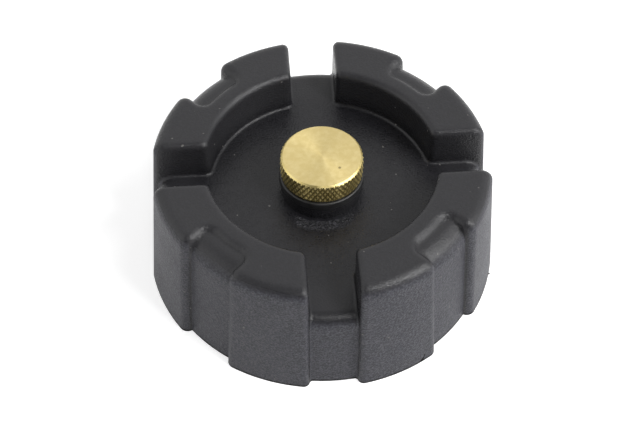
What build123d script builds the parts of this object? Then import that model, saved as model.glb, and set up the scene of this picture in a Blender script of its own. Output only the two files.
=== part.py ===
from build123d import *
from math import cos, degrees, isclose, pi, radians, sin, tan
import os

os.makedirs("parts", exist_ok=True)

# Screw-on fuel filler cap with a central vent screw. The origin is at the middle of the skirt's
# bottom rim and +Z points up, away from the filler neck. Millimetres and degrees.

# ---- Driving dimensions ----

# Moulded body, outside
skirt_radius = 35.0  # over the grip pads, at the bottom rim
recess_depth = 1.5  # from a pad's face in to the recesses between the pads
cap_height = 27.0  # bottom rim to the top of the lugs
dish_depth = 8.8  # top of the lugs down to the floor of the dish and of the four slots
lug_thickness = 11.3  # from a pad's face in to the dish wall, at the floor
outer_draft = 4.6  # lean of every outer wall
dish_draft = 1.0  # lean of the dish wall
lug_count = 4
slot_width = 9.2  # the slots part the lugs
notch_width = 9.8  # a notch parts each lug's two pads
notch_depth = 0.95  # top of the lugs down to a notch's ledge
notch_ledge_length = 4.5  # from a notch's back out to the recess below it
notch_core_depth = 1.0  # the notch is cut this much deeper, then filled up to its ledge and recess
top_edge_radius = 2.4  # outer top edge of the lugs
inner_edge_radius = 1.3  # inner top edge of the lugs
corner_radius = 1.2  # sides of the lugs, at the slots
slot_edge_radius = 3.0  # where a slot's floor turns down the outer wall
notch_edge_radius = 4.1  # where a notch's ledge turns down the outer wall
notch_corner_radius = 1.6  # back corners of a notch, seen from above
notch_rim_radius = 1.7  # upper edge of a notch, and the pad edges below it
floor_corner_radius = 0.6  # foot of the dish wall and of the boss's underside

# Moulded body, inside
floor_thickness = 3.0
skirt_wall = 4.5  # under a pad, at the bottom rim; its inner face is the root of the thread
mouth_chamfer = 0.8
seat_corner_radius = 0.3  # around the gasket's seat
thread_depth = 1.6
thread_pitch = 4.0
thread_turns = 1.25
thread_crest_width = 1.8
thread_flank_angle = 30.0
thread_start_height = 2.6
thread_gap_count = 4
thread_gap_angle = 14.0
thread_bite = 0.4  # how far the ridge's section runs on into the skirt

# Vent boss and screw
boss_radius = 8.0
boss_rise = 2.8  # above the floor
boss_drop = 3.0  # below the underside
head_radius = 8.05
head_height = 4.7
head_chamfer = 0.5
knurl_count = 54  # grooves each way round the head
knurl_angle = 30.0  # between a groove and the screw's axis
knurl_depth = 0.24
screw_radius = 3.0  # nominal radius of the screw's thread
screw_pitch = 1.0
screw_clearance = 0.05  # radial, in the insert and in the seal
vent_turns = 1.5  # from shut to the clip's stop
vent_groove_width = 1.4
vent_groove_depth = 0.9
screw_tip_length = 0.8  # below the clip
screw_tip_chamfer = 0.5
seal_radius = 8.3
seal_thickness = 1.8
seal_edge_radius = 0.35  # around its outside, top and bottom

# Threaded insert
insert_across_flats = 9.0
insert_waist_radius = 4.2
insert_waist_height = 2.0
insert_chamfer = 0.4  # at the ends of its bore

# Retaining clip
clip_radius = 5.5
clip_thickness = 0.7
clip_groove_radius = 2.45
clip_relief_radius = 3.8
clip_mouth_width = 4.2
clip_prong_count = 3
clip_prong_width = 2.2
clip_back_angle = 90.0  # direction of the prong that faces the mouth
clip_clearance = 0.05  # each side of the clip in its groove
clip_stop_clearance = 0.3  # left below the insert when the screw is at its stop

# Gasket
gasket_width = 6.6
gasket_thickness = 2.0
gasket_clearance = 0.35  # radial, inside the skirt

overrun = 1.0  # how far a cut passes the faces that it opens
same_radius = 0.01  # edges this close in radius are taken as one size

# ---- Worked-out sizes ----


def leaned(radius, height):
    """Radius of an outer wall at a height, when it is the given radius at the bottom rim."""
    return radius - height * tan(radians(outer_draft))


recess_radius = skirt_radius - recess_depth
floor_height = cap_height - dish_depth
dish_radius = leaned(skirt_radius, floor_height) - lug_thickness
dish_mouth_radius = dish_radius + dish_depth * tan(radians(dish_draft))
underside_height = floor_height - floor_thickness
boss_top = floor_height + boss_rise
boss_bottom = underside_height - boss_drop
clear_radius = skirt_radius + overrun
bore_radius = skirt_radius - skirt_wall
crest_radius = bore_radius - thread_depth
screw_lift = vent_turns * screw_pitch
head_bottom = boss_top + seal_thickness
head_top = head_bottom + head_height
knurl_root_radius = head_radius - knurl_depth
knurl_twist = degrees(head_height * tan(radians(knurl_angle)) / head_radius)
clip_top = boss_bottom - screw_lift - clip_stop_clearance
shank_radius = screw_radius - screw_clearance
groove_bottom = clip_top - clip_thickness - clip_clearance
shank_bottom = groove_bottom - screw_tip_length
gasket_outer_radius = bore_radius - gasket_clearance


def arcs(edge_list, radius):
    """The circular edges of the given radius."""
    circles = edge_list.filter_by(GeomType.CIRCLE)
    return circles.filter_by(lambda e: isclose(e.radius, radius, abs_tol=same_radius))


# ---- Space that the slots take out of the lugs, and the recesses below them ----

slot_start_radius = (boss_radius + dish_radius) / 2

with BuildPart() as slot_space:
    with BuildSketch(Plane.XZ):
        with BuildLine():
            FilletPolyline(
                (slot_start_radius, floor_height),
                (leaned(recess_radius, floor_height), floor_height),
                (leaned(recess_radius, -overrun), -overrun),
                (clear_radius, -overrun),
                (clear_radius, cap_height + overrun),
                (slot_start_radius, cap_height + overrun),
                radius=[0, slot_edge_radius, 0, 0, 0, 0],
                close=True,
            )
        make_face()
    revolve(axis=Axis.Z)
    with BuildSketch(Plane.XY.offset(-overrun)):
        with PolarLocations(clear_radius / 2, lug_count):
            Rectangle(clear_radius, slot_width)
    extrude(amount=cap_height + 2 * overrun, mode=Mode.INTERSECT)

# ---- Space that the notches take out of the lugs, and the recesses below them ----

notch_ledge_height = cap_height - notch_depth
notch_wall_radius = leaned(recess_radius, notch_ledge_height) - notch_ledge_length
notch_core_height = notch_ledge_height - notch_core_depth
notch_core_radius = recess_radius - notch_core_depth
notch_core_edge_radius = notch_edge_radius - notch_core_depth
notch_angle = 180 / lug_count

with BuildPart() as notch_space:
    with BuildSketch(Plane.XZ):
        with BuildLine():
            FilletPolyline(
                (notch_wall_radius, cap_height + overrun),
                (notch_wall_radius, notch_core_height),
                (leaned(notch_core_radius, notch_core_height), notch_core_height),
                (leaned(notch_core_radius, -overrun), -overrun),
                (clear_radius, -overrun),
                (clear_radius, cap_height + overrun),
                radius=[0, 0, notch_core_edge_radius, 0, 0, 0],
                close=True,
            )
        make_face()
    revolve(axis=Axis.Z)
    with BuildSketch(Plane.XY.offset(-overrun)):
        with PolarLocations(clear_radius / 2, lug_count, start_angle=notch_angle):
            Rectangle(clear_radius, notch_width)
    extrude(amount=cap_height + 2 * overrun, mode=Mode.INTERSECT)

# ---- What fills the notches again, up to their ledges and to the recesses below them ----

fill_radius = notch_wall_radius - notch_core_depth
fill_bottom_radius = leaned(notch_core_radius - notch_core_depth, 0)

with BuildPart() as notch_fill:
    with BuildSketch(Plane.XZ):
        with BuildLine():
            FilletPolyline(
                (fill_radius, notch_ledge_height),
                (leaned(recess_radius, notch_ledge_height), notch_ledge_height),
                (recess_radius, 0),
                (fill_bottom_radius, 0),
                (leaned(fill_bottom_radius, floor_height), floor_height),
                (fill_radius, floor_height),
                radius=[0, notch_edge_radius, 0, 0, 0, 0],
                close=True,
            )
        make_face()
    revolve(axis=Axis.Z)
    with BuildSketch(Plane.XY):
        with PolarLocations(clear_radius / 2, lug_count, start_angle=notch_angle):
            Rectangle(clear_radius, notch_width + notch_core_depth)
    extrude(amount=cap_height, mode=Mode.INTERSECT)

# ---- Thread ridge inside the skirt, broken by gaps ----

thread_flank = thread_depth * tan(radians(thread_flank_angle))
thread_height = thread_turns * thread_pitch

with BuildPart() as thread_ridge:
    with BuildLine() as thread_path:
        Helix(thread_pitch, thread_height, bore_radius, center=(0, 0, thread_start_height))
    with BuildSketch(Plane(thread_path.line @ 0, x_dir=(-1, 0, 0), z_dir=thread_path.line % 0)):
        with BuildLine():
            Polyline(
                (-thread_bite, thread_crest_width / 2 + thread_flank),
                (0, thread_crest_width / 2 + thread_flank),
                (thread_depth, thread_crest_width / 2),
                (thread_depth + thread_bite, thread_crest_width / 2),
                (thread_depth + thread_bite, -thread_crest_width / 2),
                (thread_depth, -thread_crest_width / 2),
                (0, -thread_crest_width / 2 - thread_flank),
                (-thread_bite, -thread_crest_width / 2 - thread_flank),
                close=True,
            )
        make_face()
    sweep(is_frenet=True)
    with BuildSketch(Plane.XY):
        Circle(crest_radius)
        with PolarLocations(crest_radius, thread_gap_count):
            Rectangle(crest_radius, 2 * crest_radius * sin(radians(thread_gap_angle / 2)))
    extrude(amount=underside_height, mode=Mode.SUBTRACT)

# ---- Outside form of the threaded insert, which its hole in the boss matches ----

with BuildPart() as insert_form:
    with BuildSketch(Plane.XY.offset(boss_bottom)):
        RegularPolygon(insert_across_flats / 2, 6, major_radius=False)
    extrude(amount=boss_top - boss_bottom)
    with BuildSketch(Plane.XY.offset((boss_top + boss_bottom - insert_waist_height) / 2)):
        Circle(insert_across_flats)
        Circle(insert_waist_radius, mode=Mode.SUBTRACT)
    extrude(amount=insert_waist_height, mode=Mode.SUBTRACT)

# ---- Moulded body ----

with BuildPart() as cap_body:
    with BuildSketch(Plane.XZ):
        with BuildLine():
            FilletPolyline(
                (0, boss_bottom),
                (boss_radius, boss_bottom),
                (boss_radius, underside_height),
                (bore_radius, underside_height),
                (bore_radius, mouth_chamfer),
                (bore_radius + mouth_chamfer, 0),
                (skirt_radius, 0),
                (leaned(skirt_radius, cap_height), cap_height),
                (dish_mouth_radius, cap_height),
                (dish_radius, floor_height),
                (boss_radius, floor_height),
                (boss_radius, boss_top),
                (0, boss_top),
                radius=[
                    0,
                    0,
                    floor_corner_radius,
                    seat_corner_radius,
                    0,
                    0,
                    0,
                    top_edge_radius,
                    inner_edge_radius,
                    0,
                    0,
                    0,
                    0,
                ],
                close=True,
            )
        make_face()
    revolve(axis=Axis.Z)
    add(slot_space.part, mode=Mode.SUBTRACT)
    slot_rims = edges().filter_by(GeomType.LINE).group_by(Axis.Z)[-1]
    fillet(slot_rims, radius=corner_radius)
    add(notch_space.part, mode=Mode.SUBTRACT)
    notch_corners = edges().filter_by(Axis.Z).group_by(Axis.Z)[-1]
    fillet(notch_corners, radius=notch_corner_radius)
    notch_rims = arcs(edges(), notch_wall_radius).group_by(Axis.Z)[-1]
    fillet(notch_rims, radius=notch_rim_radius)
    dish_foot = arcs(edges().filter_by_position(Axis.Z, floor_height, floor_height), dish_radius)
    fillet(dish_foot, radius=floor_corner_radius)
    add(notch_fill.part)
    add(insert_form.part, mode=Mode.SUBTRACT)
    add(thread_ridge.part)

cap_body.part.label = "cap_body"
export_step(cap_body.part, "parts/cap_body.step")

# ---- Threaded insert, open for the screw ----

with BuildPart() as threaded_insert:
    add(insert_form.part)
    with Locations((0, 0, (boss_top + boss_bottom) / 2)):
        Hole(screw_radius)
    chamfer(arcs(edges(), screw_radius), length=insert_chamfer)

threaded_insert.part.label = "threaded_insert"
export_step(threaded_insert.part, "parts/threaded_insert.step")

# ---- Seal washer under the screw's head ----

with BuildPart() as vent_seal:
    with BuildSketch(Plane.XY.offset(boss_top)):
        Circle(seal_radius)
        Circle(screw_radius, mode=Mode.SUBTRACT)
    extrude(amount=seal_thickness)
    fillet(arcs(edges(), seal_radius), radius=seal_edge_radius)

vent_seal.part.label = "vent_seal"
export_step(vent_seal.part, "parts/vent_seal.step")

# ---- Diamond knurl: one star of grooves twisted both ways, and what the two have in common ----

star_points = []
for tooth in range(knurl_count):
    crest_angle = 2 * pi * tooth / knurl_count
    valley_angle = crest_angle + pi / knurl_count
    star_points.append((head_radius * cos(crest_angle), head_radius * sin(crest_angle)))
    star_points.append((knurl_root_radius * cos(valley_angle), knurl_root_radius * sin(valley_angle)))

with BuildSketch(Plane.XY.offset(head_bottom)) as knurl_star:
    with BuildLine():
        Polyline(*star_points, close=True)
    make_face()

star_face = knurl_star.sketch.face()
star_centre = (0, 0, head_bottom)
right_twist = Solid.extrude_linear_with_rotation(star_face, star_centre, (0, 0, head_height), knurl_twist)
left_twist = Solid.extrude_linear_with_rotation(star_face, star_centre, (0, 0, head_height), -knurl_twist)

with BuildPart() as knurled_head:
    add(right_twist)
    add(left_twist, mode=Mode.INTERSECT)
    with BuildSketch(Plane.XZ):
        with BuildLine():
            Polyline(
                (0, head_bottom),
                (head_radius - head_chamfer, head_bottom),
                (head_radius, head_bottom + head_chamfer),
                (head_radius, head_top - head_chamfer),
                (head_radius - head_chamfer, head_top),
                (0, head_top),
                close=True,
            )
        make_face()
    revolve(axis=Axis.Z, mode=Mode.INTERSECT)

# ---- Vent screw: its shank, with the clip's groove and the vent groove, under the knurled head ----

with BuildPart() as vent_screw:
    with BuildSketch(Plane.XZ):
        with BuildLine():
            Polyline(
                (0, shank_bottom),
                (shank_radius - screw_tip_chamfer, shank_bottom),
                (shank_radius, shank_bottom + screw_tip_chamfer),
                (shank_radius, groove_bottom),
                (clip_groove_radius, groove_bottom),
                (clip_groove_radius, clip_top + clip_clearance),
                (shank_radius, clip_top + clip_clearance),
                (shank_radius, head_bottom),
                (0, head_bottom),
                close=True,
            )
        make_face()
    revolve(axis=Axis.Z)
    with BuildSketch(Plane.XY.offset(shank_bottom)):
        with Locations((shank_radius, 0)):
            Rectangle(2 * vent_groove_depth, vent_groove_width)
    extrude(amount=head_bottom - shank_bottom, mode=Mode.SUBTRACT)
    add(knurled_head.part)

vent_screw.part.label = "vent_screw"
export_step(vent_screw.part, "parts/vent_screw.step")

# ---- Retaining clip, pushed on from the side ----

with BuildPart() as retaining_clip:
    with BuildSketch(Plane.XY.offset(clip_top - clip_thickness)):
        Circle(clip_radius)
        Circle(clip_relief_radius, mode=Mode.SUBTRACT)
        with PolarLocations(clip_relief_radius / 2, clip_prong_count, start_angle=clip_back_angle):
            Rectangle(clip_relief_radius + overrun, clip_prong_width)
        Circle(clip_groove_radius + clip_clearance, mode=Mode.SUBTRACT)
        with Locations((0, -clip_radius)):
            Rectangle(clip_mouth_width, 2 * (clip_radius - clip_groove_radius), mode=Mode.SUBTRACT)
    extrude(amount=clip_thickness)

retaining_clip.part.label = "retaining_clip"
export_step(retaining_clip.part, "parts/retaining_clip.step")

# ---- Gasket that closes on the rim of the filler neck ----

with BuildPart() as cap_gasket:
    with BuildSketch(Plane.XY.offset(underside_height)):
        Circle(gasket_outer_radius)
        Circle(gasket_outer_radius - gasket_width, mode=Mode.SUBTRACT)
    extrude(amount=-gasket_thickness)

cap_gasket.part.label = "cap_gasket"
export_step(cap_gasket.part, "parts/cap_gasket.step")
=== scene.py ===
import math

import bmesh
import bpy
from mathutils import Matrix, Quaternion, Vector


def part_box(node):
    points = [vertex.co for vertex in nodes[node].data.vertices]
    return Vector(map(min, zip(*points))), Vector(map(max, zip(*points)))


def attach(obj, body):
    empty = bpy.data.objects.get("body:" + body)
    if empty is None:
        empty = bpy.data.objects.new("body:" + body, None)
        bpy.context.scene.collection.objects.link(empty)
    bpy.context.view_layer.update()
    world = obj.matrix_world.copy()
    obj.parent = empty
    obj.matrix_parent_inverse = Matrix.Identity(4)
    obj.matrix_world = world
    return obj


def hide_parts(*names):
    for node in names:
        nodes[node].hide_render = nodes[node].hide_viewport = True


# Fuel filler cap, dressed for rendering. Metres; one unit of the "mm" helpers is a millimetre.

MM = 0.001

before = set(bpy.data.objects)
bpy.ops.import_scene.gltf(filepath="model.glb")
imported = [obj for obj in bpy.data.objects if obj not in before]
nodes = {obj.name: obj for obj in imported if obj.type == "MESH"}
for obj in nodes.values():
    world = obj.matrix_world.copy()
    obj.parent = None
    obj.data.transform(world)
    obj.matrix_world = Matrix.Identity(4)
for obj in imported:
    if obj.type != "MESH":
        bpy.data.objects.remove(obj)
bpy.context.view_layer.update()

# ---- Places read from the frame, in millimetres ----

BODY_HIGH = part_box("cap_body")[1] / MM
SEAL_LOW, SEAL_HIGH = [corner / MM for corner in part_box("vent_seal")]
SCREW_LOW, SCREW_HIGH = [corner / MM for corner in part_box("vent_screw")]
CLIP_LOW, CLIP_HIGH = [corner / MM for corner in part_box("retaining_clip")]
CAP_HEIGHT = BODY_HIGH.z
HEAD_BOTTOM = SEAL_HIGH.z
HEAD_RADIUS = SCREW_HIGH.x

# ---- Driving values: the photograph's camera and light ----

CAMERA_PLACE = Vector((-14.773, -180.258, 237.692)) * MM
CAMERA_AIM = Vector((0.376, 7.67, 0.0)) * MM
CAMERA_ROLL = math.radians(0.508)
CAMERA_LENS = 81.19
SENSOR_WIDTH = 36.0

# Name, compass angle from +X, height angle, distance and size in metres, and power in watts.
LAMPS = (
    ("key_light", 318.0, 48.0, 1.0, 0.22, 3.3),
    ("key_light_low", 325.0, 34.0, 1.0, 0.3, 0.7),
    ("side_light", 345.0, 25.0, 1.0, 0.45, 2.9),
    ("side_light_high", 355.0, 58.0, 1.0, 0.3, 2.0),
    ("front_light", 274.0, 58.0, 1.0, 0.18, 1.0),
    ("left_light", 192.0, 28.0, 1.0, 0.9, 1.15),
)
FLOOR_SIZE = 6.0  # in metres
FLOOR_DROP = 0.02  # in millimetres, which keeps the floor clear of the bottom rim
FLOOR_COLOUR = (0.80, 0.80, 0.80, 1)
FLOOR_GLOW = 0.64  # lifts the floor to white where the camera sees it
FLOOR_MIRRORED_GLOW = 0.42  # and where a reflection does
BACKDROP_FILL = 0.45  # how strongly the white surroundings light the cap
CAMERA_SIDE_FILL = 0.15  # the part of them behind the camera, beside the rest
CAMERA_SIDE = (CAMERA_PLACE - CAMERA_AIM).normalized()
CAMERA_SIDE_EDGE = (0.45, 0.95)  # cosines from that direction over which they darken

# ---- Driving values: looks. Colours are linear; a pair is the range that a noise runs over. ----

WHITE = (1, 1, 1, 1)
DISH_COLOURS = ((0.0095, 0.0093, 0.0112, 1), (0.0145, 0.0142, 0.0165, 1))
# Painted light: the slot floors are coloured paler than the dish, standing in for the side lamps' light
# along the slots.
SLOT_FLOOR_PAINTED_LIGHT_COLOUR = (0.0220, 0.0216, 0.0242, 1)
LUG_TOP_COLOUR = (0.0235, 0.0231, 0.0256, 1)
OUTER_WALL_COLOURS = ((0.015, 0.015, 0.022, 1), (0.028, 0.028, 0.038, 1))
GRAIN_COLOUR = (0.125, 0.125, 0.142, 1)
DUST_COLOUR = (0.22, 0.21, 0.20, 1)
# Dark for the rim crack, and for a painted shade along the bottom rim.
CRACK_AND_PAINTED_SHADE_COLOUR = (0.002, 0.002, 0.002, 1)
BRASS_FACE_COLOURS = ((0.70, 0.56, 0.245, 1), (0.78, 0.645, 0.315, 1))
BRASS_SIDE_COLOURS = ((0.72, 0.575, 0.22, 1), (0.84, 0.70, 0.32, 1))
BRASS_STAIN_COLOUR = (0.16, 0.12, 0.06, 1)
BRASS_GROOVE_DARK_COLOUR = (0.17, 0.125, 0.04, 1)
RUBBER_COLOURS = ((0.012, 0.012, 0.012, 1), (0.022, 0.022, 0.023, 1))
STEEL_COLOURS = ((0.10, 0.10, 0.105, 1), (0.24, 0.235, 0.23, 1))

# Bands over which the moulding's looks change: radii, then heights above the bottom rim, in millimetres.
SOFT_EDGES_START = (14.0, 16.0)  # the edges within this, round the boss, stay crisp
# The next band fades in the slot floors' painted light.
SLOT_FLOOR_PAINTED_LIGHT_START = (21.0, 27.0)
OUTER_WALL_START = (29.5, 31.0)
LUG_START = (18.6, 22.0)
SOFT_EDGES_RISE = (19.5, 22.0)
SOFT_EDGE_RADII = (0.6, 1.1)  # below that rise and above it

MOTTLE_DEPTH = 0.03
GRAIN_DEPTH = 0.085
PIT_DEPTH_FACTOR = 5.0  # the rough patch's grain beside that of the top

FLASH_ANGLE = math.radians(-17.4)
CRACK_ANGLE = math.radians(-60.0)
BRASS_SPOT = Vector((3.2, -3.2, 0.0))  # a small stain on the screw's head, in millimetres

# ---- Driving values: the vent screw's thread ----

SHANK_RADIUS = 2.95
THREAD_PITCH = 1.0
THREAD_DEPTH = 0.5
THREAD_CREST = 0.15  # as a share of half a pitch
THREAD_FLANK = 0.75  # likewise
CLIP_GROOVE_RADIUS = 2.45
CLIP_CLEARANCE = 0.05
TIP_CHAMFER = 0.5
PLAIN_LENGTH = SEAL_HIGH.z - SEAL_LOW.z
VENT_GROOVE_WIDTH = 1.4
VENT_GROOVE_DEPTH = 0.9
SHANK_SIDES = 120
SHANK_ROW = 0.05
HEAD_MARGIN = 0.01  # CAD faces further below the head than this,
SHANK_MARGIN = 0.02  # and no further out than this, are the shank's
SHARP_ANGLE = math.radians(32)


# ---- Node helpers ----


def new_material(name):
    """A material with an empty node tree, its node builder and its Principled shader."""
    material = bpy.data.materials.new(name)
    material.use_nodes = True
    tree = material.node_tree
    tree.nodes.clear()
    output = tree.nodes.new("ShaderNodeOutputMaterial")
    shader = tree.nodes.new("ShaderNodeBsdfPrincipled")
    tree.links.new(shader.outputs["BSDF"], output.inputs["Surface"])
    return material, Nodes(tree), shader


class Nodes:
    """Short ways to write a node tree. Each call adds one node and returns its output socket."""

    def __init__(self, tree):
        self.tree = tree
        coordinates = tree.nodes.new("ShaderNodeTexCoord")
        scaled = tree.nodes.new("ShaderNodeVectorMath")
        scaled.operation = "SCALE"
        scaled.inputs["Scale"].default_value = 1 / MM
        tree.links.new(coordinates.outputs["Object"], scaled.inputs[0])
        self.place = scaled.outputs["Vector"]
        split = tree.nodes.new("ShaderNodeSeparateXYZ")
        tree.links.new(self.place, split.inputs["Vector"])
        self.x = split.outputs["X"]
        self.y = split.outputs["Y"]
        self.z = split.outputs["Z"]

    def plug(self, value, socket):
        """Links a socket's value to an input, or writes a constant into it."""
        if isinstance(value, bpy.types.NodeSocket):
            self.tree.links.new(value, socket)
        else:
            socket.default_value = value

    def math(self, operation, a, b=0.0, clamp=False):
        node = self.tree.nodes.new("ShaderNodeMath")
        node.operation = operation
        node.use_clamp = clamp
        self.plug(a, node.inputs[0])
        self.plug(b, node.inputs[1])
        return node.outputs[0]

    def remap(self, value, low, high, to_low=0.0, to_high=1.0, smooth=True):
        node = self.tree.nodes.new("ShaderNodeMapRange")
        node.interpolation_type = "SMOOTHSTEP" if smooth else "LINEAR"
        self.plug(value, node.inputs["Value"])
        for name, number in (("From Min", low), ("From Max", high), ("To Min", to_low), ("To Max", to_high)):
            node.inputs[name].default_value = number
        return node.outputs["Result"]

    def noise(self, scale, detail=2.0, roughness=0.5, place=None):
        """Noise with features about 1 / scale millimetres across."""
        node = self.tree.nodes.new("ShaderNodeTexNoise")
        self.plug(self.place if place is None else place, node.inputs["Vector"])
        node.inputs["Scale"].default_value = scale
        node.inputs["Detail"].default_value = detail
        node.inputs["Roughness"].default_value = roughness
        return node.outputs["Fac"]

    def mix(self, factor, a, b):
        """A colour between a and b."""
        node = self.tree.nodes.new("ShaderNodeMix")
        node.data_type = "RGBA"
        self.plug(factor, node.inputs["Factor"])
        self.plug(a, [s for s in node.inputs if s.name == "A" and s.type == "RGBA"][0])
        self.plug(b, [s for s in node.inputs if s.name == "B" and s.type == "RGBA"][0])
        return [s for s in node.outputs if s.type == "RGBA"][0]

    def vector(self, x, y, z):
        node = self.tree.nodes.new("ShaderNodeCombineXYZ")
        for value, socket in zip((x, y, z), node.inputs):
            self.plug(value, socket)
        return node.outputs["Vector"]

    def radius(self):
        """Distance from the cap's axis, in millimetres."""
        squares = [self.math("POWER", part, 2.0) for part in (self.x, self.y)]
        return self.math("SQRT", self.math("ADD", *squares))

    def own_normal(self):
        """The surface's own normal, as the sockets of its X, Y and Z parts."""
        geometry = self.tree.nodes.new("ShaderNodeNewGeometry")
        split = self.tree.nodes.new("ShaderNodeSeparateXYZ")
        self.tree.links.new(geometry.outputs["Normal"], split.inputs["Vector"])
        return split.outputs

    def outward_part(self, normal, radius):
        """The part of a normal that points away from the cap's axis."""
        along_x = self.math("MULTIPLY", normal["X"], self.x)
        along_y = self.math("MULTIPLY", normal["Y"], self.y)
        return self.math("DIVIDE", self.math("ADD", along_x, along_y), self.math("MAXIMUM", radius, 0.1))

    def bevel(self, radius_mm):
        """Softens the surface's normal near its edges."""
        node = self.tree.nodes.new("ShaderNodeBevel")
        node.samples = 6
        self.plug(self.math("MULTIPLY", radius_mm, MM), node.inputs["Radius"])
        return node.outputs["Normal"]

    def bump(self, height, depth_mm, normal=None):
        """A bump of the given depth in millimetres."""
        node = self.tree.nodes.new("ShaderNodeBump")
        node.inputs["Strength"].default_value = 1.0
        node.inputs["Distance"].default_value = depth_mm * MM
        self.plug(height, node.inputs["Height"])
        if normal is not None:
            self.plug(normal, node.inputs["Normal"])
        return node.outputs["Normal"]


# ---- Materials ----


def rim_crack(n):
    """A short dark crack that runs up a grip pad from the bottom rim, and the chip beside it."""
    cosine, sine = math.cos(CRACK_ANGLE), math.sin(CRACK_ANGLE)
    along = n.math("ADD", n.math("MULTIPLY", n.x, -sine), n.math("MULTIPLY", n.y, cosine))
    outward = n.math("ADD", n.math("MULTIPLY", n.x, cosine), n.math("MULTIPLY", n.y, sine))
    line = n.math("ADD", n.math("MULTIPLY", n.z, 0.225), 0.15)
    crack = n.remap(n.math("ABSOLUTE", n.math("SUBTRACT", along, line)), 0.08, 0.20, 1.0, 0.0)
    crack = n.math("MULTIPLY", crack, n.remap(n.z, 1.8, 2.2, 1.0, 0.0))
    chip = n.remap(n.math("ABSOLUTE", n.math("ADD", along, 0.35)), 0.5, 0.75, 1.0, 0.0)
    chip = n.math("MULTIPLY", chip, n.remap(n.math("SUBTRACT", n.z, along), 0.9, 1.15, 1.0, 0.0))
    return n.math("MULTIPLY", n.math("MAXIMUM", crack, chip), n.remap(outward, 30.0, 32.0))


def moulded_plastic():
    """Black moulding: smooth and satin on top, with a paler spark-eroded grain on the outer walls."""
    material, n, shader = new_material("moulded_plastic")
    radius = n.radius()
    normal = n.own_normal()
    up = normal["Z"]
    outward = n.outward_part(normal, radius)
    wall = n.math("MULTIPLY", n.remap(up, 0.3, 0.8, 1.0, 0.0), n.remap(outward, 0.25, 0.7))
    outer_wall = n.math("MULTIPLY", wall, n.remap(radius, *OUTER_WALL_START))
    grain = n.noise(2.8, detail=2.0, roughness=0.6)
    mottle = n.noise(0.7, detail=3.0, roughness=0.6)
    cloud = n.noise(0.12, detail=2.0)

    floor_colour = n.mix(n.remap(mottle, 0.3, 0.7), *DISH_COLOURS)
    # Painted light: the paler slot floors stand in for the side lamps' light along the slots.
    floor_colour = n.mix(n.remap(radius, *SLOT_FLOOR_PAINTED_LIGHT_START), floor_colour, SLOT_FLOOR_PAINTED_LIGHT_COLOUR)
    top_colour = n.mix(n.remap(n.z, *LUG_START), floor_colour, LUG_TOP_COLOUR)
    wall_colour = n.mix(n.remap(mottle, 0.3, 0.7), *OUTER_WALL_COLOURS)
    colour = n.mix(outer_wall, top_colour, wall_colour)
    speckle_part = n.remap(outer_wall, 0.0, 1.0, 0.05, 0.55, smooth=False)
    colour = n.mix(n.math("MULTIPLY", n.remap(grain, 0.38, 0.72), speckle_part), colour, GRAIN_COLOUR)

    # A rough patch on the dish's floor, on the -Y side of the boss.
    rough_patch = n.math("MULTIPLY", n.remap(radius, 8.5, 8.9), n.remap(radius, 10.3, 11.5, 1.0, 0.0))
    rough_patch = n.math("MULTIPLY", rough_patch, n.remap(n.math("ABSOLUTE", n.x), 4.6, 6.4, 1.0, 0.0))
    rough_patch = n.math("MULTIPLY", rough_patch, n.remap(n.y, 0.0, -1.0))
    pits = n.remap(n.noise(1.9, detail=2.0, roughness=0.7), 0.5, 0.72)
    colour = n.mix(n.math("MULTIPLY", pits, n.math("MULTIPLY", rough_patch, 0.45)), colour, GRAIN_COLOUR)

    dust = n.noise(1.1, detail=0.0)
    colour = n.mix(n.remap(dust, 0.845, 0.875, 0.0, 0.6), colour, DUST_COLOUR)
    # Painted shade: a mottled dark band along the bottom rim, standing in for the contact shade where the
    # rim meets the floor.
    rim_painted_shade = n.math("MULTIPLY", n.remap(n.z, 0.3, 0.7, 1.0, 0.0), n.remap(mottle, 0.35, 0.6, 0.6, 1.0))
    dark = n.math("MAXIMUM", rim_painted_shade, rim_crack(n))
    colour = n.mix(dark, colour, CRACK_AND_PAINTED_SHADE_COLOUR)
    n.plug(colour, shader.inputs["Base Color"])

    # The dark marks are fully rough, so that they don't shine.
    roughness = n.math("ADD", n.remap(cloud, 0.3, 0.7, 0.21, 0.27), n.math("MULTIPLY", outer_wall, 0.18))
    n.plug(n.math("MAXIMUM", roughness, dark), shader.inputs["Roughness"])
    shader.inputs["IOR"].default_value = 1.47
    shader.inputs["Specular IOR Level"].default_value = 0.4

    edge_radius = n.math(
        "MULTIPLY", n.remap(radius, *SOFT_EDGES_START), n.remap(n.z, *SOFT_EDGES_RISE, *SOFT_EDGE_RADII)
    )
    soft = n.bump(mottle, MOTTLE_DEPTH, normal=n.bevel(edge_radius))
    patch_part = n.math("MULTIPLY", rough_patch, PIT_DEPTH_FACTOR)
    grain_part = n.math("MAXIMUM", n.remap(up, 0.2, 0.6, 2.4, 0.9), patch_part)
    grain_height = n.math("MULTIPLY", n.math("SUBTRACT", grain, 0.5), grain_part)
    n.plug(n.bump(grain_height, GRAIN_DEPTH, normal=soft), shader.inputs["Normal"])
    return material


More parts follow.
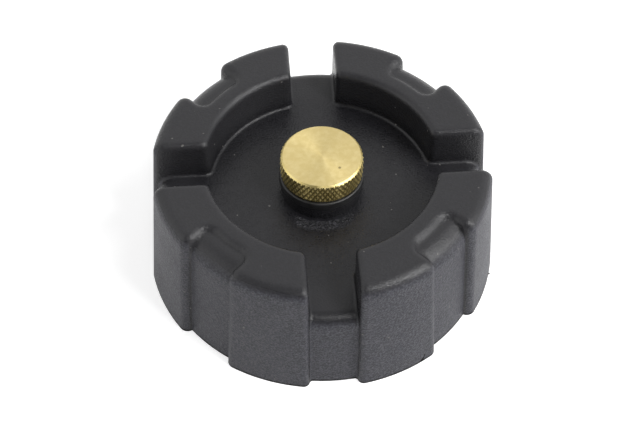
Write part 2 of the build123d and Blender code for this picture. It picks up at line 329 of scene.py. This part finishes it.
def brass(name, knurled):
    """Turned brass. The end faces have fine lathe rings, and the knurl's groove bottoms are coloured darker.
    """
    material, n, shader = new_material(name)
    up = n.own_normal()["Z"]
    radius = n.radius()
    face = n.remap(n.math("ABSOLUTE", up), 0.93, 0.99)
    rings = n.noise(16.0, detail=3.0, roughness=0.75, place=n.vector(radius, 0.0, 0.0))
    scratch = n.noise(0.9, detail=4.0, roughness=0.7)
    bright = n.mix(n.remap(scratch, 0.35, 0.7), *BRASS_FACE_COLOURS)
    side = n.mix(n.remap(scratch, 0.35, 0.7), *BRASS_SIDE_COLOURS)
    colour = n.mix(face, side, bright)
    if knurled:
        away_x = n.math("POWER", n.math("SUBTRACT", n.x, BRASS_SPOT.x), 2.0)
        away_y = n.math("POWER", n.math("SUBTRACT", n.y, BRASS_SPOT.y), 2.0)
        spot = n.math("MULTIPLY", n.remap(n.math("ADD", away_x, away_y), 0.03, 0.12, 0.7, 0.0), face)
        colour = n.mix(spot, colour, BRASS_STAIN_COLOUR)
        # The knurl's groove bottoms are coloured darker.
        sideways = n.remap(n.math("ABSOLUTE", up), 0.2, 0.6, 1.0, 0.0)
        sunk = n.remap(radius, HEAD_RADIUS - 0.24, HEAD_RADIUS - 0.04, 1.0, 0.0)
        groove = n.math("MULTIPLY", sunk, sideways)
        groove = n.math("MULTIPLY", groove, n.remap(radius, HEAD_RADIUS - 1.0, HEAD_RADIUS - 0.6))
        colour = n.mix(n.math("MULTIPLY", groove, 0.8), colour, BRASS_GROOVE_DARK_COLOUR)
    n.plug(colour, shader.inputs["Base Color"])
    shader.inputs["Metallic"].default_value = 1.0
    shader.inputs["Anisotropic"].default_value = 0.65
    shader.inputs["Anisotropic Rotation"].default_value = 0.25
    tangent = n.tree.nodes.new("ShaderNodeTangent")
    tangent.direction_type = "RADIAL"
    tangent.axis = "Z"
    n.plug(tangent.outputs["Tangent"], shader.inputs["Tangent"])
    n.plug(n.remap(scratch, 0.3, 0.7, 0.34, 0.42), shader.inputs["Roughness"])
    n.plug(n.bump(n.math("MULTIPLY", rings, face), 0.012), shader.inputs["Normal"])
    return material


def rubber():
    """Dull black nitrile rubber."""
    material, n, shader = new_material("nitrile_rubber")
    bloom = n.noise(0.5, detail=3.0)
    n.plug(n.mix(n.remap(bloom, 0.35, 0.7), *RUBBER_COLOURS), shader.inputs["Base Color"])
    n.plug(n.remap(bloom, 0.3, 0.7, 0.34, 0.46), shader.inputs["Roughness"])
    n.plug(n.bump(n.noise(6.0, detail=2.0), 0.015), shader.inputs["Normal"])
    return material


def spring_steel():
    """Dark phosphated spring steel."""
    material, n, shader = new_material("phosphated_steel")
    blotch = n.noise(1.4, detail=4.0, roughness=0.65)
    n.plug(n.mix(n.remap(blotch, 0.3, 0.7), *STEEL_COLOURS), shader.inputs["Base Color"])
    shader.inputs["Metallic"].default_value = 1.0
    n.plug(n.remap(blotch, 0.3, 0.7, 0.34, 0.5), shader.inputs["Roughness"])
    n.plug(n.bump(n.noise(9.0, detail=3.0), 0.01), shader.inputs["Normal"])
    return material


def dress(node_name, material):
    """Gives a CAD node its material."""
    node = nodes[node_name]
    node.data.materials.clear()
    node.data.materials.append(material)


# ---- Pieces that the CAD leaves to this script ----


def ride(piece, body):
    """Joins a piece to the body that it moves with."""
    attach(piece, body)


def flash_nib(material):
    """A small wisp of moulding flash that was left on the bottom rim."""
    outward = Vector((math.cos(FLASH_ANGLE), math.sin(FLASH_ANGLE), 0.0))
    across = Vector((-math.sin(FLASH_ANGLE), math.cos(FLASH_ANGLE), 0.0))
    corners = []
    for side, height in ((-0.35, 0.05), (0.35, 0.05), (0.25, 0.55), (-0.2, 0.45)):
        corners.append((outward * (BODY_HIGH.x + 0.1) + across * side + Vector((0, 0, height))) * MM)
    corners.append((outward * (BODY_HIGH.x + 0.9) + across * 0.1 + Vector((0, 0, 0.2))) * MM)
    mesh = bpy.data.meshes.new("flash_nib")
    mesh.from_pydata(corners, [], [(0, 1, 4), (1, 2, 4), (2, 3, 4), (3, 0, 4), (3, 2, 1, 0)])
    mesh.materials.append(material)
    nib = bpy.data.objects.new("flash_nib", mesh)
    bpy.context.scene.collection.objects.link(nib)
    ride(nib, "cap")


def shank_radius_at(angle, height):
    """Radius of the screw's shank, in millimetres, with its thread, clip groove and vent groove."""
    turn = (height / THREAD_PITCH - angle / math.tau) % 1.0
    valley = min(1.0, max(0.0, (1.0 - abs(2.0 * turn - 1.0) - THREAD_CREST) / THREAD_FLANK))
    run_out = min(1.0, max(0.0, (HEAD_BOTTOM - PLAIN_LENGTH - height) / THREAD_PITCH))
    radius = SHANK_RADIUS - THREAD_DEPTH * valley * run_out
    if CLIP_LOW.z - CLIP_CLEARANCE <= height <= CLIP_HIGH.z + CLIP_CLEARANCE:
        radius = CLIP_GROOVE_RADIUS
    radius = min(radius, SHANK_RADIUS - TIP_CHAMFER + height - SCREW_LOW.z)
    groove_floor = SHANK_RADIUS - VENT_GROOVE_DEPTH
    if math.cos(angle) > 0.0 and abs(groove_floor * math.tan(angle)) < VENT_GROOVE_WIDTH / 2:
        radius = min(radius, groove_floor / math.cos(angle))
    return radius


def threaded_screw(material):
    """The CAD screw's own knurled head, over a shank that carries the real thread."""
    mesh = nodes["vent_screw"].data.copy()
    mesh.name = "threaded_vent_screw"
    head = bmesh.new()
    head.from_mesh(mesh)
    shank_faces = []
    for face in head.faces:
        centre = face.calc_center_median() / MM
        below_head = centre.z < HEAD_BOTTOM - HEAD_MARGIN
        if below_head and math.hypot(centre.x, centre.y) < SHANK_RADIUS + SHANK_MARGIN:
            shank_faces.append(face)
    bmesh.ops.delete(head, geom=shank_faces, context="FACES")
    rows = round((HEAD_BOTTOM - SCREW_LOW.z) / SHANK_ROW)
    rings = []
    for row in range(rows + 1):
        height = SCREW_LOW.z + (HEAD_BOTTOM - SCREW_LOW.z) * row / rows
        ring = []
        for side in range(SHANK_SIDES):
            angle = math.tau * side / SHANK_SIDES
            radius = shank_radius_at(angle, height)
            place = (radius * math.cos(angle) * MM, radius * math.sin(angle) * MM, height * MM)
            ring.append(head.verts.new(place))
        rings.append(ring)
    for lower, upper in zip(rings, rings[1:]):
        for side in range(SHANK_SIDES):
            after = (side + 1) % SHANK_SIDES
            head.faces.new((lower[side], lower[after], upper[after], upper[side]))
    head.faces.new(list(reversed(rings[0])))
    head.to_mesh(mesh)
    head.free()
    mesh.shade_smooth()
    mesh.set_sharp_from_angle(angle=SHARP_ANGLE)
    screw = bpy.data.objects.new("threaded_vent_screw", mesh)
    bpy.context.scene.collection.objects.link(screw)
    mesh.materials.clear()
    mesh.materials.append(material)
    ride(screw, "screw")
    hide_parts("vent_screw")


# ---- Floor, world, lights and camera ----


def studio_floor():
    """A white floor that shows as plain white, with the object's shadow kept."""
    bpy.ops.mesh.primitive_plane_add(size=FLOOR_SIZE, location=(0, 0, -FLOOR_DROP * MM))
    floor = bpy.context.object
    floor.name = "studio_floor"
    material = bpy.data.materials.new("studio_floor")
    material.use_nodes = True
    tree = material.node_tree
    tree.nodes.clear()
    output = tree.nodes.new("ShaderNodeOutputMaterial")
    diffuse = tree.nodes.new("ShaderNodeBsdfDiffuse")
    diffuse.inputs["Color"].default_value = FLOOR_COLOUR
    glow = tree.nodes.new("ShaderNodeEmission")
    glow.inputs["Color"].default_value = WHITE
    n = Nodes(tree)
    path = tree.nodes.new("ShaderNodeLightPath")
    mirrored = n.math("MAXIMUM", path.outputs["Is Glossy Ray"], path.outputs["Is Transmission Ray"])
    seen = n.math("MULTIPLY", path.outputs["Is Camera Ray"], FLOOR_GLOW)
    reflected = n.math("MULTIPLY", mirrored, FLOOR_MIRRORED_GLOW)
    n.plug(n.math("MAXIMUM", seen, reflected), glow.inputs["Strength"])
    both = tree.nodes.new("ShaderNodeAddShader")
    tree.links.new(diffuse.outputs[0], both.inputs[0])
    tree.links.new(glow.outputs[0], both.inputs[1])
    tree.links.new(both.outputs[0], output.inputs["Surface"])
    floor.data.materials.append(material)


def studio_world():
    """White surroundings, darker behind the camera. They look white but light the cap more dimly."""
    world = bpy.data.worlds.new("studio")
    bpy.context.scene.world = world
    world.use_nodes = True
    tree = world.node_tree
    tree.nodes.clear()
    output = tree.nodes.new("ShaderNodeOutputWorld")
    background = tree.nodes.new("ShaderNodeBackground")
    background.inputs["Color"].default_value = WHITE
    n = Nodes(tree)
    direction = tree.nodes.new("ShaderNodeTexCoord").outputs["Generated"]
    toward_camera = tree.nodes.new("ShaderNodeVectorMath")
    toward_camera.operation = "DOT_PRODUCT"
    toward_camera.inputs[1].default_value = CAMERA_SIDE
    tree.links.new(direction, toward_camera.inputs[0])
    surroundings = n.remap(toward_camera.outputs["Value"], *CAMERA_SIDE_EDGE, 1.0, CAMERA_SIDE_FILL)
    path = tree.nodes.new("ShaderNodeLightPath")
    mirrored = n.math("MAXIMUM", path.outputs["Is Glossy Ray"], path.outputs["Is Transmission Ray"])
    unseen = n.math("MULTIPLY", surroundings, n.remap(mirrored, 0.0, 1.0, BACKDROP_FILL, 1.0, smooth=False))
    n.plug(n.math("MAXIMUM", path.outputs["Is Camera Ray"], unseen), background.inputs["Strength"])
    tree.links.new(background.outputs[0], output.inputs["Surface"])


def softbox(name, compass, rise, distance, size, power):
    """A square area lamp that looks at the cap."""
    lamp = bpy.data.lights.new(name, "AREA")
    lamp.shape = "SQUARE"
    lamp.size = size
    lamp.energy = power
    box = bpy.data.objects.new(name, lamp)
    bpy.context.scene.collection.objects.link(box)
    level = distance * math.cos(math.radians(rise))
    box.location = (
        level * math.cos(math.radians(compass)),
        level * math.sin(math.radians(compass)),
        distance * math.sin(math.radians(rise)),
    )
    aim = Vector((0, 0, CAP_HEIGHT * MM / 2)) - box.location
    box.rotation_mode = "QUATERNION"
    box.rotation_quaternion = aim.to_track_quat("-Z", "Y")


def photo_camera():
    data = bpy.data.cameras.new("photo_camera")
    data.lens = CAMERA_LENS
    data.sensor_width = SENSOR_WIDTH
    data.clip_start = 0.01
    data.clip_end = 20.0
    camera = bpy.data.objects.new("photo_camera", data)
    bpy.context.scene.collection.objects.link(camera)
    camera.location = CAMERA_PLACE
    camera.rotation_mode = "QUATERNION"
    look = (CAMERA_AIM - CAMERA_PLACE).to_track_quat("-Z", "Y")
    camera.rotation_quaternion = look @ Quaternion((0, 0, 1), CAMERA_ROLL)
    bpy.context.scene.camera = camera


# ---- The scene ----

plastic = moulded_plastic()
dress("cap_body", plastic)
flash_nib(plastic)
dress("cap_gasket", rubber())
dress("vent_seal", rubber())
dress("threaded_insert", brass("insert_brass", knurled=False))
screw_brass = brass("screw_brass", knurled=True)
dress("vent_screw", screw_brass)
threaded_screw(screw_brass)
dress("retaining_clip", spring_steel())

studio_floor()
studio_world()
for lamp_values in LAMPS:
    softbox(*lamp_values)
photo_camera()

scene = bpy.context.scene
scene.view_settings.view_transform = "Standard"
